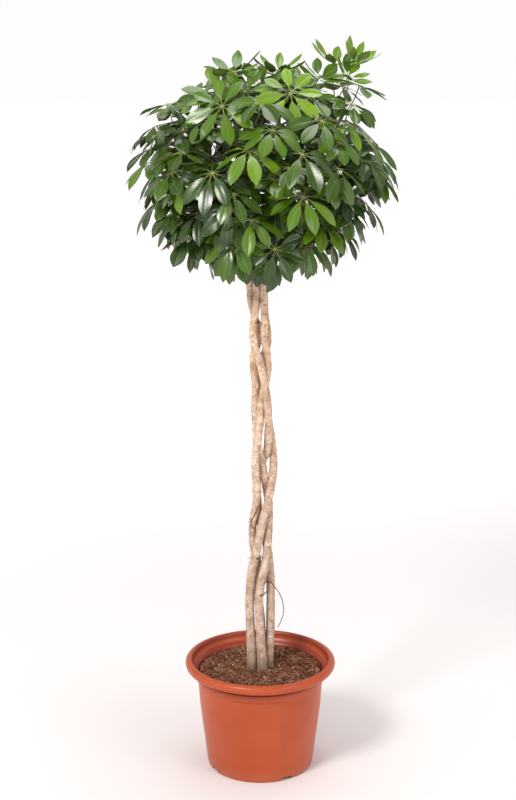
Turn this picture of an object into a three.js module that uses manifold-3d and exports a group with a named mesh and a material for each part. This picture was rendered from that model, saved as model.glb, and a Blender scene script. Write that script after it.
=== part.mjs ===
// Umbrella tree with four braided stems and a round crown, growing in a rimmed nursery pot.
// Millimetres, +Z up. The front is -Y and the origin is on the floor under the middle of the pot.
import * as THREE from 'three';
import { mergeVertices } from 'three/addons/utils/BufferGeometryUtils.js';
import Module from 'manifold-3d';

const wasm = await Module();
wasm.setup();

const GAP = 0.4;                // clearance between pieces that touch on the real plant

// Pot: [radius, height] round the whole wall section, from the middle of the underside outwards.
const POT_SEGMENTS = 40;
const POT_OUTSIDE = [
  [0, 4], [96, 4], [98, 0], [113, 0], [116.5, 4], [124.2, 65], [133.6, 142], [137.4, 195],
  [139.6, 199], [140.4, 207], [139.6, 213], [138, 215.5], [145, 221], [158, 224.6], [163.4, 229],
  [165, 236], [163, 241.5], [158.5, 244.4], [154, 245],
];
const POT_INSIDE = [
  [150.6, 242.6], [149.4, 237], [146.6, 228.5], [140.5, 222.5], [136.4, 217], [134.6, 195],
  [130.8, 142], [121.4, 65], [113.8, 9], [110.5, 7], [0, 7],
];
const DRAIN_AZIMUTHS = [-60, 30, 120, 210];
const DRAIN = { width: 22, height: 8, radius: 112, depth: 26 };

// Soil: fills the pot from its floor to a low mound a little under the rim.
const SOIL_SEGMENTS = 24;
const SOIL_PROFILE = [
  [0, 7.4], [109.8, 7.4], [113, 9.2], [120.6, 65], [130, 142], [133.8, 195], [135, 214.5],
  [120, 218], [88, 221], [45, 219], [0, 220],
];

// Braid: height, x of stems 1 to 4, and their order from front to back.
const BRAID = [
  [150, -20, 4, 19, -7, '2134'], [237, -18, 4, 17, -3, '2134'], [308, -21, 0, 22, 2, '2134'],
  [355, -23, -2, 23, -2, '2134'], [401, -23, -3, 23, -7, '2134'], [448, -19, 8, 21, -5, '2134'],
  [498, -7, 15, 15, -14, '2143'], [528, -1, 17, 8, -17, '1243'], [562, 4, 18, -3, -16, '1423'],
  [596, 13, 18, -6, -9, '1423'], [623, 19, 14, -8, -6, '1423'], [652, 26, 10, -7, -9, '1423'],
  [685, 28, 6, 1, -11, '4213'], [707, 28, -1, 14, -11, '4231'], [741, 24, -9, 16, -6, '3421'],
  [774, 19, -9, 18, -1, '3421'], [807, 13, -12, 17, 1, '3421'], [839, 3, -11, 15, 3, '3421'],
  [872, -4, -10, 7, 13, '3241'], [915, 6, -17, 0, 16, '3241'], [958, 17, -4, -16, 9, '3421'],
  [1000, 11, -10, -14, 8, '3421'], [1043, 9, -21, -7, 8, '4321'], [1100, 7, -22, -7, 7, '4321'],
];
const BRAID_STEP = 25;
const STEM_SIDES = 8;
const STEM_STEPS = 44;
const STEM_RADIUS = { foot: 9.6, fork: 7.2, top: 4.4 };

// Crown: where each stem goes above the braid, then its side branches as start height and end.
const CROWN = [
  { main: [[12, 45, 1170], [22, 85, 1260], [35, 105, 1350], [40, 95, 1445]],
    sides: [[1180, -50, 105, 1245], [1240, 105, 105, 1330], [1320, -25, 65, 1440]] },
  { main: [[-48, 12, 1170], [-88, 14, 1260], [-112, 5, 1350], [-118, -10, 1440]],
    sides: [[1180, -120, -45, 1250], [1230, -95, 75, 1330], [1330, -70, 40, 1440]] },
  { main: [[-14, -38, 1165], [-28, -80, 1250], [-42, -100, 1340], [-50, -90, 1430]],
    sides: [[1180, 50, -85, 1240], [1240, -88, -85, 1335], [1320, 15, -72, 1440]] },
  { main: [[38, -14, 1165], [82, -22, 1250], [112, -20, 1350], [130, -8, 1445]],
    sides: [[1180, 110, 55, 1245], [1240, 78, -92, 1330], [1320, 165, 45, 1415]] },
];
const BRANCH = { sides: 5, steps: 4, start: 4.6, end: 3 };

// Leaves: hub x, y, z, the azimuth (from the front towards +X) and elevation that the leaf faces,
// leaflet length, number of leaflets, and how far the tips fold back (negative is cupped).
const FRONT_LEAVES = [
  [-52, -60, 1510, -20, 72, 72, 7, -0.5], [-74, -158, 1448, -12, 32, 84, 8, 0.02],
  [-150, -45, 1452, -70, 76, 80, 7, 0.08], [58, -120, 1470, 5, 34, 80, 8, -0.05],
  [35, -15, 1512, 20, 78, 64, 7, -0.6], [152, 20, 1524, 60, 72, 72, 7, -0.55],
  [198, -25, 1482, 76, 70, 80, 7, 0], [168, -85, 1412, 50, 62, 78, 8, 0.24],
  [214, -58, 1382, 72, 56, 82, 8, 0.36], [-22, -212, 1368, -5, 62, 78, 8, 0.42],
  [78, -226, 1362, 10, 60, 82, 8, 0.48], [-92, -214, 1326, -20, 48, 86, 9, 0.42],
  [-52, -232, 1288, -6, 58, 66, 8, 0.5], [-20, -228, 1236, 0, 58, 70, 8, 0.5],
  [80, -230, 1282, 12, 48, 82, 8, 0.48], [29.5, -180, 1160, 8, 14, 74, 8, 0.12],
  [-56, -176, 1178, -16, 38, 78, 8, 0.38], [-166, -84, 1228, -60, 54, 80, 8, 0.45],
  [-120, -152, 1236, -38, 48, 80, 8, 0.42], [-142, -104, 1188, -50, 34, 74, 8, 0.3],
  [-210, -46, 1334, -76, 58, 84, 8, 0.36], [-210, 30, 1356, -95, 62, 82, 8, 0.32],
  [-160, -100, 1396, -52, 60, 82, 8, 0.32], [-150, -140, 1306, -46, 50, 80, 8, 0.42],
  [216, -62, 1314, 72, 56, 84, 8, 0.45], [168, -124, 1242, 48, 50, 80, 8, 0.42],
  [172, -62, 1184, 64, 40, 78, 8, 0.35], [98, -150, 1180, 26, 36, 78, 8, 0.35],
  [122, -158, 1428, 34, 60, 80, 8, 0.24], [150, -172, 1330, 40, 54, 82, 8, 0.42],
  [-118, -140, 1420, -40, 62, 70, 8, 0.3],
];
// What settleLeaf() does to that list, which was laid out for a larger, rougher crown.
const SETTLE = {
  length: 0.86, // share of the leaflets' length that is kept
  deepFold: 0.2, fold: 0.82, // folds above deepFold are reduced to this share
  capHeight: 1410, // leaves with hubs below this face further up:
  sideAzimuth: 44, sideLift: 9, steepest: 76, // those to the sides by sideLift, up to steepest,
  openElevation: 44, openLift: 3, // and the rest by openLift if they face up at all steeply
  lowHeight: 1200, raise: 14, // the lowest hubs are raised
  skirtHeight: 1260, skirtReach: 150, drawIn: 0.95, // the skirt is drawn in towards the trunk
  beltHeight: 1440, beltReach: 190, moveOut: 8, // and the sides of the belt above it moved out
};
// Rings of leaves round the sides and back: height, distance from the axis, elevation faced,
// first and last azimuth, number of leaves.
const LEAF_RINGS = [
  [1194, 158, 42, 108, 252, 3],
  [1246, 204, 56, 86, 270, 6],
  [1324, 230, 62, 98, 262, 6],
  [1400, 216, 66, 112, 262, 5],
  [1464, 154, 72, 125, 240, 3],
];
const RING_LEAF = { length: 70, leaflets: 8, fold: 0.34 };
const LEAF = { hub: 2.5, joint: 5, notch: 0.17, shoulder: 0.6, halfWidth: 0.19, sag: 0.1 };
const STALK = { sides: 4, steps: 4, start: 1.7, end: 1.3, length: 125 };
// What a leaf tries, in this order, until it clears its neighbours: size, extra elevation, shift
// along the way it faces, and turn about its hub.
const SIZES = [1, 0.92, 0.84];
const TILTS = [0, 14, -14];
const SHIFTS = [0, -10, 10, -20, 20, -30, 30, -42, 42, -55, 55];
const TURNS = [0, 15, 30];

const material = (color, roughness) =>
  new THREE.MeshStandardMaterial({ color, roughness, metalness: 0 });
const LOOKS = {
  pot: material(0xc4623f, 0.5),
  soil: material(0x5e3a28, 0.95),
  stem: material(0xb9a383, 0.8),
  leaf: material(0x3f7a35, 0.4),
};

const rad = THREE.MathUtils.degToRad;
const vec = (x, y, z) => new THREE.Vector3(x, y, z);
const wobble = (i, k) => {
  const n = Math.sin(i * 12.9898 + k * 78.233) * 43758.5453;
  return 2 * (n - Math.floor(n)) - 1;
};
const heading = (azimuth, elevation) => vec(
  Math.sin(rad(azimuth)) * Math.cos(rad(elevation)),
  -Math.cos(rad(azimuth)) * Math.cos(rad(elevation)),
  Math.sin(rad(elevation)));

function solid(geometry) {
  const bare = geometry.clone();
  bare.deleteAttribute('normal');
  bare.deleteAttribute('uv');
  const merged = mergeVertices(bare, 1e-4);
  return new wasm.Manifold(new wasm.Mesh({
    numProp: 3,
    vertProperties: Float32Array.from(merged.attributes.position.array),
    triVerts: Uint32Array.from(merged.index.array),
  }));
}

function geometryOf(body) {
  const mesh = body.getMesh();
  const geometry = new THREE.BufferGeometry();
  geometry.setAttribute('position', new THREE.BufferAttribute(mesh.vertProperties, 3));
  geometry.setIndex(new THREE.BufferAttribute(mesh.triVerts, 1));
  geometry.computeVertexNormals();
  return geometry;
}

const group = new THREE.Group();
function addPart(name, body, look) {
  const mesh = new THREE.Mesh(geometryOf(body), look);
  mesh.name = name;
  group.add(mesh);
}

const turned = (profile, segments) =>
  solid(new THREE.LatheGeometry(profile.map(([r, z]) => new THREE.Vector2(r, z)), segments)
    .rotateX(Math.PI / 2));

// A round limb along a curve; its radius is a function of how far along it is, from 0 to 1.
const curveThrough = points => new THREE.CatmullRomCurve3(points, false, 'centripetal');
function limb(points, radiusAt, sides, steps) {
  const path = curveThrough(points);
  const section = new THREE.Shape(Array.from({ length: sides }, (_, i) => {
    const angle = (2 * Math.PI * i) / sides;
    return new THREE.Vector2(Math.cos(angle), Math.sin(angle));
  }));
  const geometry = new THREE.ExtrudeGeometry(section, { extrudePath: path, steps });
  const centres = path.getSpacedPoints(steps);
  const position = geometry.attributes.position;
  for (let i = 0; i < position.count; i++) {
    const point = vec().fromBufferAttribute(position, i);
    const ring = centres.reduce((best, centre, k) =>
      (centre.distanceTo(point) < centres[best].distanceTo(point) ? k : best), 0);
    point.sub(centres[ring]).multiplyScalar(radiusAt(ring / steps)).add(centres[ring]);
    position.setXYZ(i, point.x, point.y, point.z);
  }
  return solid(geometry);
}

// Pot, with a drain slot through the foot and the floor's edge at each azimuth.
let pot = turned([...POT_OUTSIDE, ...POT_INSIDE], POT_SEGMENTS);
for (const azimuth of DRAIN_AZIMUTHS) {
  const slot = new THREE.BoxGeometry(DRAIN.depth, DRAIN.width, DRAIN.height + 2)
    .translate(DRAIN.radius, 0, DRAIN.height / 2 - 1)
    .rotateZ(rad(azimuth - 90));
  pot = pot.subtract(solid(slot));
}
addPart('pot', pot, LOOKS.pot);

// The braid's lines: each stem keeps its x, and stems that cross are pushed apart in depth.
function braidLines() {
  const heights = [];
  for (let z = BRAID[0][0]; z <= BRAID.at(-1)[0]; z += BRAID_STEP) heights.push(z);
  const rank = (row, stem) => row[5].indexOf(String(stem + 1)) - 1.5;
  const lines = CROWN.map((_, stem) => {
    const curve = new THREE.CatmullRomCurve3(
      BRAID.map(row => vec(row[stem + 1], 9 * rank(row, stem), row[0])));
    const fine = curve.getPoints(600);
    return heights.map(z => fine.reduce((a, b) =>
      (Math.abs(b.z - z) < Math.abs(a.z - z) ? b : a)).clone().setZ(z));
  });
  const radiusAt = z => THREE.MathUtils.mapLinear(
    z, heights[0], heights.at(-1), STEM_RADIUS.foot, STEM_RADIUS.fork);
  const spread = k => {
    const need = 2.25 * radiusAt(heights[k]) + GAP;
    for (let a = 0; a < lines.length; a++) {
      for (let b = a + 1; b < lines.length; b++) {
        const [p, q] = [lines[a][k], lines[b][k]];
        const depth = Math.sqrt(Math.max(0, need ** 2 - (p.x - q.x) ** 2));
        const lack = (depth - Math.abs(p.y - q.y)) / 2;
        if (lack <= 0) continue;
        const side = p.y < q.y ? -1 : 1;
        p.y += side * lack;
        q.y -= side * lack;
      }
    }
  };
  for (let round = 0; round < 60; round++) {
    for (const line of lines) {
      const y = line.map(p => p.y);
      for (let k = 1; k < line.length - 1; k++) {
        line[k].y = (y[k - 1] + 2 * y[k] + y[k + 1]) / 4;
      }
    }
    for (let pass = 0; pass < 8; pass++) heights.forEach((_, k) => spread(k));
  }
  return lines;
}

// Stems: a braided length and a crown length in one line, with side branches fused on.
const taper = (start, end) => t => THREE.MathUtils.lerp(start, end, t);
const twigs = [];                // points along the wood in the crown, where leaf stalks start
function noteTwigs(points, radiusAt) {
  const path = curveThrough(points);
  for (let t = 0.07; t < 0.98; t += 0.07) {
    twigs.push({ at: path.getPointAt(t), along: path.getTangentAt(t), radius: radiusAt(t) });
  }
}
const braid = braidLines();
const stems = CROWN.map(({ main, sides }, stem) => {
  const crown = main.map(p => vec(...p));
  const line = [...braid[stem], ...crown];
  const fork = curveThrough(braid[stem]).getLength() / curveThrough(line).getLength();
  const radiusAt = t => (t < fork
    ? THREE.MathUtils.mapLinear(t, 0, fork, STEM_RADIUS.foot, STEM_RADIUS.fork)
    : THREE.MathUtils.mapLinear(t, fork, 1, STEM_RADIUS.fork, STEM_RADIUS.top));
  let body = limb(line, radiusAt, STEM_SIDES, STEM_STEPS);
  noteTwigs(crown, taper(STEM_RADIUS.fork, STEM_RADIUS.top));
  const axis = curveThrough(line).getPoints(800);
  for (const [height, ...end] of sides) {
    const start = axis.find(p => p.z >= height);
    const tip = vec(...end);
    const bend = start.clone().lerp(tip, 0.5).add(vec(start.x, start.y, 0).setLength(8));
    const branchRadius = taper(BRANCH.start, BRANCH.end);
    body = body.add(limb([start, bend, tip], branchRadius, BRANCH.sides, BRANCH.steps));
    noteTwigs([start.clone().lerp(bend, 0.5), bend, tip], branchRadius);
  }
  return body;
});
stems.forEach((body, i) => addPart(`stem_${i + 1}`, body, LOOKS.stem));

// Soil, with a hole round each stem's foot.
let soil = turned(SOIL_PROFILE, SOIL_SEGMENTS);
for (const line of braid) {
  const foot = line.filter(p => p.z < 300);
  foot.unshift(foot[0].clone().setZ(foot[0].z - 3));
  soil = soil.subtract(limb(foot, () => STEM_RADIUS.foot + GAP, STEM_SIDES, foot.length - 1));
}
addPart('soil', soil, LOOKS.soil);

// A leaf's blade: leaflets round a hub, each with a notch, two shoulders and a tip, as a thin lens.
function blade(hub, facing, length, leaflets, fold, turn, seed) {
  const across = vec(0, 0, 1).cross(facing).normalize();
  const up = facing.clone().cross(across);
  const point = (angle, reach) => hub.clone()
    .addScaledVector(across, Math.cos(angle) * reach)
    .addScaledVector(up, Math.sin(angle) * reach)
    .addScaledVector(facing, -fold * reach ** 2 / length)
    .add(vec(0, 0, -LEAF.sag * reach ** 2 / length));
  const outline = [];
  const pitch = (2 * Math.PI) / leaflets;
  const shoulder = Math.min(Math.atan(LEAF.halfWidth / LEAF.shoulder), 0.43 * pitch);
  for (let i = 0; i < leaflets; i++) {
    const angle = i * pitch + rad(turn) + 0.06 * pitch * wobble(seed, i);
    const reach = length * (1 + 0.08 * wobble(seed + 50, i));
    outline.push(
      point(i * pitch - pitch / 2 + rad(turn), length * LEAF.notch),
      point(angle - shoulder, reach * LEAF.shoulder),
      point(angle, reach),
      point(angle + shoulder, reach * LEAF.shoulder));
  }
  const vertices = [...outline, hub.clone().addScaledVector(facing, LEAF.hub),
    hub.clone().addScaledVector(facing, -LEAF.hub)];
  const top = outline.length;
  const faces = outline.flatMap((_, i) => {
    const next = (i + 1) % outline.length;
    return [top, i, next, top + 1, next, i];
  });
  const geometry = new THREE.BufferGeometry();
  geometry.setAttribute('position',
    new THREE.Float32BufferAttribute(vertices.flatMap(v => v.toArray()), 3));
  geometry.setIndex(faces);
  return { body: solid(geometry), joint: point(rad(turn), LEAF.joint) };
}

// A leaf's stalk: leaves the wood square to it, rises, and meets the hub from behind.
function stalk(twig, hub, facing, end) {
  const away = hub.clone().sub(twig.at);
  const out = away.clone().addScaledVector(twig.along, -away.dot(twig.along)).normalize();
  const base = twig.at.clone().addScaledVector(out, twig.radius + GAP);
  const root = base.clone().addScaledVector(out, 5);
  const rise = base.clone().lerp(hub, 0.45).addScaledVector(out, 0.1 * away.length());
  const behind = hub.clone().addScaledVector(facing, -0.2 * away.length());
  return limb([base, root, rise, behind, end], taper(STALK.start, STALK.end),
    STALK.sides, STALK.steps);
}

const standing = stems.map(body => ({ body, box: body.boundingBox() }));
const apart = (a, b) => [0, 1, 2].some(k => a.max[k] < b.min[k] || b.max[k] < a.min[k]);
const isFree = body => {
  const box = body.boundingBox();
  return standing.every(other => {
    if (apart(box, other.box)) return true;
    const shared = body.intersect(other.body);
    const clear = shared.isEmpty();
    shared.delete();
    return clear;
  });
};

const tries = SIZES.flatMap(size => TILTS.flatMap(tilt => SHIFTS.flatMap(shift =>
  TURNS.map(turn => ({ size, tilt, shift, turn })))));
function placeLeaf(x, y, z, azimuth, elevation, length, leaflets, fold, seed) {
  for (const { size, tilt, shift, turn } of tries) {
    const facing = heading(azimuth, elevation + tilt);
    const hub = vec(x, y, z).addScaledVector(facing, shift);
    const { body, joint } =
      blade(hub, facing, size * length, leaflets, fold, turn + 17 * seed, seed);
    if (!isFree(body)) continue;
    const cost = ({ at }) =>
      Math.abs(at.distanceTo(hub) - STALK.length) + Math.max(0, at.z - hub.z + 10);
    const starts = twigs.toSorted((a, b) => cost(a) - cost(b)).slice(0, 8);
    for (const twig of starts) {
      const leafStalk = stalk(twig, hub, facing, joint);
      if (isFree(leafStalk)) return body.add(leafStalk);
    }
  }
  throw new Error(`no room for leaf ${seed} at ${x}, ${y}, ${z}`);
}

// A row of FRONT_LEAVES as it is built, to the nearest millimetre, degree and hundredth of fold.
function settleLeaf([x, y, z, azimuth, elevation, length, leaflets, fold]) {
  let faced = elevation;
  if (z < SETTLE.capHeight && Math.abs(azimuth) > SETTLE.sideAzimuth) {
    faced = Math.min(SETTLE.steepest, elevation + SETTLE.sideLift);
  } else if (z < SETTLE.capHeight && elevation >= SETTLE.openElevation) {
    faced = elevation + SETTLE.openLift;
  }
  const height = z < SETTLE.lowHeight ? z + SETTLE.raise : z;
  const inSkirt = height < SETTLE.skirtHeight && Math.hypot(x, y) > SETTLE.skirtReach;
  const inBelt = height >= SETTLE.skirtHeight && height < SETTLE.beltHeight;
  const share = inSkirt ? SETTLE.drawIn : 1;
  const shift = inBelt && Math.abs(x) > SETTLE.beltReach ? Math.sign(x) * SETTLE.moveOut : 0;
  const opened = fold > SETTLE.deepFold ? Math.round(fold * SETTLE.fold * 100) / 100 : fold;
  return [Math.round(x * share + shift), Math.round(y * share), height, azimuth, faced,
    Math.round(length * SETTLE.length), leaflets, opened];
}

const ringLeaves = LEAF_RINGS.flatMap(([z, radius, elevation, first, last, count], ring) =>
  Array.from({ length: count }, (_, i) => {
    const azimuth = THREE.MathUtils.lerp(first, last, i / (count - 1)) + 4 * wobble(ring, i);
    const out = heading(azimuth, 0).multiplyScalar(radius + 8 * wobble(ring + 9, i));
    return [out.x, out.y, z + 12 * wobble(ring + 20, i), azimuth, elevation + 6 * wobble(ring, i + 30),
      RING_LEAF.length, RING_LEAF.leaflets, RING_LEAF.fold];
  }));
[...FRONT_LEAVES.map(settleLeaf), ...ringLeaves].forEach((row, i) => {
  const body = placeLeaf(...row, i);
  standing.push({ body, box: body.boundingBox() });
  addPart(`leaf_${String(i + 1).padStart(2, '0')}`, body, LOOKS.leaf);
});

export default group;
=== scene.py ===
import math
import bpy
import bmesh
import numpy as np
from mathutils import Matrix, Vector
from mathutils.bvhtree import BVHTree


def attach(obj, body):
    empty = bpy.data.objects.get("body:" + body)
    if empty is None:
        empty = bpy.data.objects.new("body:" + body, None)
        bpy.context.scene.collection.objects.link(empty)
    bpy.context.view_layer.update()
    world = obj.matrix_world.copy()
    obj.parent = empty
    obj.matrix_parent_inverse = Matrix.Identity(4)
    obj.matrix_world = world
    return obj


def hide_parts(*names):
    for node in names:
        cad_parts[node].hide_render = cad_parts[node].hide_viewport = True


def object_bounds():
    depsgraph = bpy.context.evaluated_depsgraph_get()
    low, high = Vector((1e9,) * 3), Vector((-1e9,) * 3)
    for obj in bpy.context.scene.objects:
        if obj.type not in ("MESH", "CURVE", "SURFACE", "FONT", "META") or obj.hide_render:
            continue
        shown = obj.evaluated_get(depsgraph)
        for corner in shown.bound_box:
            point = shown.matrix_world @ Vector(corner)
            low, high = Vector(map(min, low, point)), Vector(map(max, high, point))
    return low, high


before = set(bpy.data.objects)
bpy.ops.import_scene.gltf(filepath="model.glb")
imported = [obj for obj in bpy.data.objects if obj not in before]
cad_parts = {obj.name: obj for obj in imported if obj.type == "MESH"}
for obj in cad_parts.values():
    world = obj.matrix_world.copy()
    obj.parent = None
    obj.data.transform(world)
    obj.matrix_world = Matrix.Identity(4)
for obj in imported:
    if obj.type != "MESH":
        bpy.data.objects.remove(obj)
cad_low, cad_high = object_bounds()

# ---------------------------------------------------------------- helpers
# The scene is in metres. The plant and pot are mostly written in millimetres and multiplied by MM;
# the stage, lights and camera are in metres. Azimuths are in degrees from the front (-Y) towards
# +X, and elevations in degrees up from the level.
MM = 0.001
UP = np.array([0.0, 0.0, 1.0])
CAD_LOW, CAD_HIGH = np.array(cad_low), np.array(cad_high)
TURN = 2 * math.pi


def unit(v):
    return v / max(np.linalg.norm(v), 1e-12)


def heading(azimuth, elevation):
    """The unit vector that points that way."""
    a, e = math.radians(azimuth), math.radians(elevation)
    return np.array([math.sin(a) * math.cos(e), -math.cos(a) * math.cos(e), math.sin(e)])


def make_object(name, verts, faces, materials, face_material=None, attributes=None,
                sharp_angle=50.0, smooth=True):
    """A mesh object in the scene, with a value at each vertex for every attribute."""
    mesh = bpy.data.meshes.new(name)
    mesh.from_pydata(np.asarray(verts, float).tolist(), [], faces)
    for m in materials:
        mesh.materials.append(m)
    if face_material is not None:
        mesh.polygons.foreach_set("material_index", np.asarray(face_material, np.int32))
    for key, values in (attributes or {}).items():
        layer = mesh.attributes.new(key, "FLOAT", "POINT")
        layer.data.foreach_set("value", np.asarray(values, np.float32))
    mesh.polygons.foreach_set("use_smooth", [smooth] * len(mesh.polygons))
    if smooth and sharp_angle:
        mesh.set_sharp_from_angle(angle=math.radians(sharp_angle))
    mesh.update()
    obj = bpy.data.objects.new(name, mesh)
    bpy.context.scene.collection.objects.link(obj)
    return obj


class Builder:
    """Collects vertices, faces, face materials and point attributes of one mesh."""

    def __init__(self, keys):
        self.verts, self.faces, self.mats = [], [], []
        self.attr = {k: [] for k in keys}
        self.n = 0

    def add(self, verts, faces, mat, **attr):
        base = self.n
        self.verts.append(verts)
        self.faces.extend([[base + i for i in f] for f in faces])
        self.mats.extend([mat] * len(faces))
        for k in self.attr:
            value = attr.get(k, 0.0)
            self.attr[k].append(np.broadcast_to(np.asarray(value, float), (len(verts),)))
        self.n += len(verts)

    def build(self, name, materials, **kw):
        return make_object(name, np.concatenate(self.verts), self.faces, materials, self.mats,
                           {k: np.concatenate(v) for k, v in self.attr.items()}, **kw)


def capped_faces(rows, cols):
    """Faces of a closed tube of rows x cols vertices that its two end centres follow."""
    faces = []
    for r in range(rows - 1):
        for c in range(cols):
            d = (c + 1) % cols
            faces.append([r * cols + c, r * cols + d, (r + 1) * cols + d, (r + 1) * cols + c])
    first, last = rows * cols, rows * cols + 1
    for i in range(cols):
        j = (i + 1) % cols
        faces += [[first, j, i], [last, first - cols + i, first - cols + j]]
    return faces


def icosphere(subdivisions):
    """Vertices and faces of a unit ball."""
    bm = bmesh.new()
    bmesh.ops.create_icosphere(bm, subdivisions=subdivisions, radius=1)
    verts = np.array([v.co for v in bm.verts])
    faces = [[v.index for v in face.verts] for face in bm.faces]
    bm.free()
    return verts, faces


def frames_along(points):
    """Tangent, side and normal at each point, turned as little as possible."""
    points = np.asarray(points)
    tangents = np.gradient(points, axis=0)
    tangents /= np.linalg.norm(tangents, axis=1)[:, None]
    ref = np.array([1.0, 0, 0]) if abs(tangents[0][0]) < 0.8 else np.array([0, 1.0, 0])
    sides = []
    side = unit(ref - tangents[0] * ref.dot(tangents[0]))
    for t in tangents:
        side = unit(side - t * side.dot(t))
        sides.append(side)
    sides = np.array(sides)
    return tangents, sides, np.cross(tangents, sides)


def tube(points, radii, sides=8):
    """Vertices and faces of a capped tube along the points."""
    points = np.asarray(points)
    radii = np.broadcast_to(np.asarray(radii, float), (len(points),))
    _, a, b = frames_along(points)
    angle = np.linspace(0, TURN, sides, endpoint=False)[None, :, None]
    ring = np.cos(angle) * a[:, None, :] + np.sin(angle) * b[:, None, :]
    verts = (points[:, None, :] + ring * radii[:, None, None]).reshape(-1, 3)
    return np.vstack([verts, points[0], points[-1]]), capped_faces(len(points), sides)


def smooth_curve(points, count):
    """Catmull-Rom through the points, with count points in all."""
    p = np.asarray(points, float)
    p = np.vstack([2 * p[0] - p[1], p, 2 * p[-1] - p[-2]])
    out = []
    for s in np.linspace(0, len(p) - 3 - 1e-9, count):
        i = int(s)
        t = s - i
        a, b, c, d = p[i:i + 4]
        out.append(0.5 * ((2 * b) + (c - a) * t + (2 * a - 5 * b + 4 * c - d) * t * t
                          + (3 * b - a - 3 * c + d) * t ** 3))
    return np.array(out)


# ---------------------------------------------------------------- materials
class Nodes:
    """A short way to write a node material."""

    def __init__(self, name):
        self.mat = bpy.data.materials.new(name)
        self.mat.use_nodes = True
        self.tree = self.mat.node_tree
        self.bsdf = self.tree.nodes["Principled BSDF"]

    def node(self, kind, **inputs):
        n = self.tree.nodes.new(kind)
        for key, value in inputs.items():
            if key.startswith("_"):
                setattr(n, key[1:], value)
            else:
                self.set(n, key.replace("_", " "), value)
        return n

    def set(self, node, key, value):
        socket = node.inputs[int(key[1:])] if key[0] == "i" and key[1:].isdigit() else node.inputs[key]
        if isinstance(value, bpy.types.NodeSocket):
            self.tree.links.new(value, socket)
        elif isinstance(socket.default_value, float) or isinstance(value, str):
            socket.default_value = value
        else:
            socket.default_value = tuple(value) + (1.0,) * (len(socket.default_value) - len(value))

    def math(self, op, a, b=0.0, clamp=False):
        return self.node("ShaderNodeMath", _operation=op, _use_clamp=clamp, i0=a, i1=b).outputs[0]

    def mix(self, fac, a, b, mode="MIX"):
        n = self.node("ShaderNodeMix", _data_type="RGBA", _blend_type=mode)
        for index, value in ((0, fac), (6, a), (7, b)):
            self.set(n, f"i{index}", value)
        return n.outputs[2]

    def ramp(self, fac, *stops):
        """Colour ramp: stops are (position, colour)."""
        n = self.node("ShaderNodeValToRGB", Fac=fac)
        elements = n.color_ramp.elements
        while len(elements) < len(stops):
            elements.new(0.5)
        for e, (pos, col) in zip(elements, stops):
            e.position = pos
            e.color = tuple(col) + (1.0,)
        return n.outputs[0]

    def step(self, value, low, high):
        """0 below low, 1 above high, smooth between."""
        n = self.node("ShaderNodeMapRange", _interpolation_type="SMOOTHSTEP")
        for index, v in enumerate((value, low, high, 0.0, 1.0)):
            self.set(n, f"i{index}", v)
        return n.outputs[0]

    def attr(self, name):
        return self.node("ShaderNodeAttribute", _attribute_name=name).outputs["Fac"]

    def coords(self, scale=(1, 1, 1)):
        c = self.node("ShaderNodeTexCoord").outputs["Object"]
        return self.node("ShaderNodeMapping", Vector=c, Scale=scale).outputs[0]

    def noise(self, vector, scale, detail=3.0, rough=0.5):
        return self.node("ShaderNodeTexNoise", Vector=vector, Scale=scale, Detail=detail,
                         Roughness=rough).outputs[0]

    def bump(self, height, strength, distance):
        return self.node("ShaderNodeBump", Height=height, Strength=strength, Distance=distance).outputs[0]

    def finish(self, color, roughness, normal=None, **extra):
        self.set(self.bsdf, "Base Color", color)
        self.set(self.bsdf, "Roughness", roughness)
        if normal is not None:
            self.set(self.bsdf, "Normal", normal)
        for key, value in extra.items():
            self.set(self.bsdf, key.replace("_", " "), value)
        return self.mat


def leaf_material():
    m = Nodes("leaf_blade")
    along, across, tone, side = m.attr("along"), m.attr("across"), m.attr("tone"), m.attr("side")
    offset = m.math("ABSOLUTE", across)
    coords = m.coords()
    blotch = m.noise(coords, 26.0, 3.0)
    base = m.ramp(tone, (0.0, (0.008, 0.026, 0.008)), (0.28, (0.024, 0.056, 0.004)),
                  (0.6, (0.052, 0.118, 0.003)), (1.0, (0.150, 0.270, 0.008)))
    base = m.mix(m.math("MULTIPLY", m.step(blotch, 0.4, 0.75), 0.3), base, (0.075, 0.140, 0.008))
    # veins run from the midrib towards the margin and forwards
    phase = m.math("SUBTRACT", along, m.math("MULTIPLY", offset, 0.22))
    wave = m.math("SINE", m.math("MULTIPLY", phase, 62.0))
    vein = m.step(wave, 0.82, 1.0)
    rib = m.math("SUBTRACT", 1.0, m.step(offset, 0.015, 0.065))
    base = m.mix(m.math("MULTIPLY", vein, 0.12), base, (0.13, 0.23, 0.02))
    base = m.mix(m.math("MULTIPLY", rib, 0.30), base, (0.24, 0.33, 0.04))
    rim = m.step(offset, 0.93, 1.0)
    base = m.mix(m.math("MULTIPLY", rim, 0.3), base, (0.22, 0.30, 0.04))
    under = m.mix(m.math("MULTIPLY", rib, 0.6), (0.105, 0.165, 0.024), (0.24, 0.32, 0.06))
    under = m.mix(m.math("MULTIPLY", vein, 0.2), under, (0.16, 0.25, 0.05))
    color = m.mix(side, under, base)
    fine = m.noise(coords, 900.0, 2.0)
    rough = m.math("ADD", m.math("MULTIPLY", m.math("SUBTRACT", 1.0, side), 0.22),
                   m.math("ADD", 0.15, m.math("MULTIPLY", blotch, 0.17)))
    height = m.math("ADD", m.math("MULTIPLY", m.math("ADD", vein, rib), -0.6),
                    m.math("MULTIPLY", fine, 0.12))
    return m.finish(color, rough, m.bump(height, 0.35, 0.0006), Specular_IOR_Level=0.5)


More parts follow.
